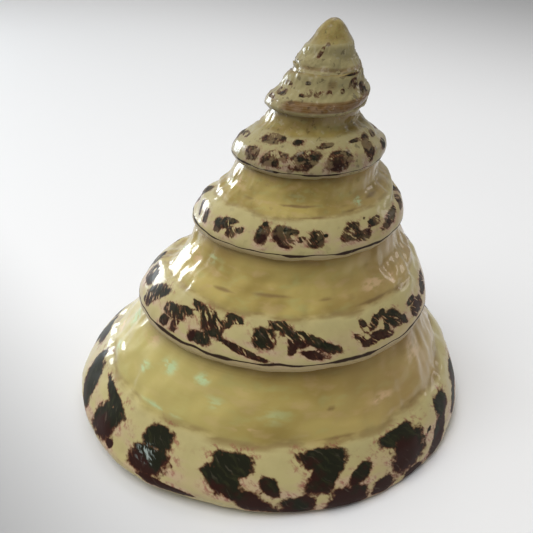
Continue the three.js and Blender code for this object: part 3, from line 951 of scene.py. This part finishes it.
class Studio(bpy.types.PropertyGroup):
    """Camera, lights and floor."""

    eye: bpy.props.FloatVectorProperty(
        name="Eye", description="Place of the camera",
        default=(0.0120, -0.1421, 0.1138), subtype="TRANSLATION",
    )
    turn: measure("Turn", "Turn of the view to the left", math.radians(4.61), subtype="ANGLE")
    look_down: measure(
        "Look down", "Angle of the view below level", math.radians(30.64), subtype="ANGLE"
    )
    roll: measure("Roll", "Roll of the camera", math.radians(-1.33), subtype="ANGLE")
    lens: measure("Lens", "Focal length", 52.0, unit="CAMERA")
    floor_size: measure("Floor size", "Side of the floor", 6.0, unit="LENGTH")
    floor_colour: paint("Floor", "Pale floor", (0.89, 0.89, 0.89))
    # Painted shade of the floor near the front and far behind.
    floor_painted_shade: paint("Floor, shade", "Floor near the front and far behind", (0.28, 0.28, 0.28))
    sky: measure("Sky", "Even light from behind the shell", 0.57)
    sky_front: measure("Sky, front", "Even light from the camera's side", 0.28)


class TOPSHELL_OT_shell(bpy.types.Operator):
    """Make the shell's surface with its relief and finish"""

    bl_idname = "topshell.shell"
    bl_label = "Shell"

    def execute(self, context):
        sizes = context.scene.topshell_sizes
        points, values, triangles, quads = shell_surface()
        smooth = standing(points, sizes.reach, sizes.lean, sizes.pitch)
        smooth[:, 2] = np.maximum(smooth[:, 2], 0)
        low, high = smooth.min(0), smooth.max(0)
        smooth[:, :2] -= (low + high)[:2] / 2
        along, across = values["along"], values["across"]
        band, border = band_field(along, across)
        line_at, line_half = rim_line_field(along)
        age = by_whorl(along, AGE)
        lip = ramp(along, 0.48 * TURN, 0.62 * TURN)
        rim = upper(along) * ramp(across, RIM_LINE, RIM_LINE + 2 * RIM_LINE_HALF)
        shell = mesh_object("shell_surface", smooth, triangles, quads)
        height = relief_field(points, along, across, border) * (1 - values["inside"])
        raised = smooth + vertex_normals(shell.data) * (height * sizes.reach * sizes.relief)[:, None]
        raised[:, 2] = np.maximum(raised[:, 2], 0)
        shell.data.vertices.foreach_set("co", raised.astype(np.float32).ravel())
        shell.data.update()
        fields = {
            "along": along / TURN,
            "across": across,
            "band": band,
            "ink": ink_field(along, across),
            "rim": rim * (1 - ramp(across, 1.0, 1.08)),
            "base": ramp(across, 1.04, 1.14) * (1 - values["inside"]),
            "line_at": line_at,
            "line_half": line_half,
            "age": age,
            "broken": by_whorl(along, BROKEN),
            "dent_shade": spot_field(DENTS, along, across),
            # Browner right side of each whorl: partly its own tint, partly painted shade.
            "warm": ramp(np.cos(along), 0.0, 1.0) * (across >= 0) * (1 - age),
            # Paler green left side of the last whorl: partly its own tint, partly painted light.
            "tint_and_light_left": ramp(-np.cos(along), -0.1, 0.8) * ramp(along, -0.1 * TURN, 0.0) * (1 - 0.7 * lip),
            # Painted glints of the pearl, and the painted highlight on a blotch.
            "painted_glint": spot_field(PAINTED_GLINTS, along, across),
            # Brown under the rims and in the recess: partly staining, partly painted shade.
            "stain_and_shade": stain_and_shade_field(along, across),
            "inside": values["inside"],
        }
        for name, field in fields.items():
            attribute = shell.data.attributes.new(name, "FLOAT", "POINT")
            attribute.data.foreach_set("value", field.astype(np.float32))
        shell.data.set_sharp_from_angle(angle=SHARP)
        shell.data.materials.append(pearl_material(context.scene.topshell_finish))
        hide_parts("shell")
        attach(shell, "root")
        return {"FINISHED"}


def even_light(behind, front):
    """A white sky that fades from behind on the left to a weaker strength in front on the right."""
    sh = Shader(bpy.data.worlds.new("even_light"))
    way = sh.node("SeparateXYZ", None, {0: sh.value(sh.node("TexCoord"), "Generated")})
    towards = sh.value(way, "Y") * 0.8 - sh.value(way, "X") * 0.5
    strength = front + sh.step(towards, -0.6, 0.7) * (behind - front)
    background = sh.node("Background", None, {"Color": (1.0, 1.0, 1.0, 1.0), "Strength": strength})
    sh.node("OutputWorld", None, {"Surface": background.outputs[0]})
    return sh.owner


def soft_light(name, place, size, power, colour, spread, reflected):
    """A round soft light at a place, facing the shell, that lights up a cone of the spread's angle."""
    data = bpy.data.lights.new(name, "AREA")
    data.shape, data.size, data.energy, data.color = "DISK", size, power, colour
    data.spread = spread
    lamp = bpy.data.objects.new(name, data)
    lamp.location = place
    lamp.rotation_euler = (LIGHT_TARGET - Vector(place)).to_track_quat("-Z", "Y").to_euler()
    lamp.visible_glossy = reflected
    bpy.context.scene.collection.objects.link(lamp)


class TOPSHELL_OT_stage(bpy.types.Operator):
    """Make the floor, the lights and the camera"""

    bl_idname = "topshell.stage"
    bl_label = "Stage"

    def execute(self, context):
        scene = context.scene
        studio = scene.topshell_studio
        half = studio.floor_size / 2
        corners = np.array([[-half, -half, 0], [half, -half, 0], [half, half, 0], [-half, half, 0]])
        floor = mesh_object("floor", corners, np.zeros((0, 3), int), np.array([[0, 1, 2, 3]]))
        floor.data.materials.append(floor_material(studio.floor_colour, studio.floor_painted_shade))

        scene.world = even_light(studio.sky, studio.sky_front)
        for light in LIGHTS:
            soft_light(*light)

        data = bpy.data.cameras.new("view")
        data.lens, data.sensor_width, data.sensor_fit = studio.lens, SENSOR_WIDTH, "HORIZONTAL"
        data.clip_start, data.clip_end = CLIP_NEAR, CLIP_FAR
        camera = bpy.data.objects.new("view", data)
        tilt = math.pi / 2 - studio.look_down
        aim = Matrix.Rotation(studio.turn, 4, "Z") @ Matrix.Rotation(tilt, 4, "X")
        camera.matrix_world = Matrix.Translation(studio.eye) @ aim @ Matrix.Rotation(studio.roll, 4, "Z")
        scene.collection.objects.link(camera)
        scene.camera = camera
        scene.view_settings.view_transform = "Standard"
        return {"FINISHED"}


class TOPSHELL_PT_panel(bpy.types.Panel):
    """Lists the shell's sizes and colours and the steps that make it"""

    bl_idname = "TOPSHELL_PT_panel"
    bl_label = "Top shell"
    bl_space_type = "VIEW_3D"
    bl_region_type = "UI"
    bl_category = "Top shell"

    def draw(self, context):
        scene = context.scene
        for group in (scene.topshell_sizes, scene.topshell_finish, scene.topshell_studio):
            box = self.layout.box()
            for name in group.__annotations__:
                box.prop(group, name)
        self.layout.operator(TOPSHELL_OT_shell.bl_idname)
        self.layout.operator(TOPSHELL_OT_stage.bl_idname)


CLASSES = (ShellSizes, ShellFinish, Studio, TOPSHELL_OT_shell, TOPSHELL_OT_stage, TOPSHELL_PT_panel)


def register():
    for made in CLASSES:
        bpy.utils.register_class(made)
    bpy.types.Scene.topshell_sizes = bpy.props.PointerProperty(type=ShellSizes)
    bpy.types.Scene.topshell_finish = bpy.props.PointerProperty(type=ShellFinish)
    bpy.types.Scene.topshell_studio = bpy.props.PointerProperty(type=Studio)


def unregister():
    del bpy.types.Scene.topshell_studio
    del bpy.types.Scene.topshell_finish
    del bpy.types.Scene.topshell_sizes
    for made in reversed(CLASSES):
        bpy.utils.unregister_class(made)


def main():
    register()
    bpy.ops.topshell.shell()
    bpy.ops.topshell.stage()


if __name__ == "__main__":
    main()
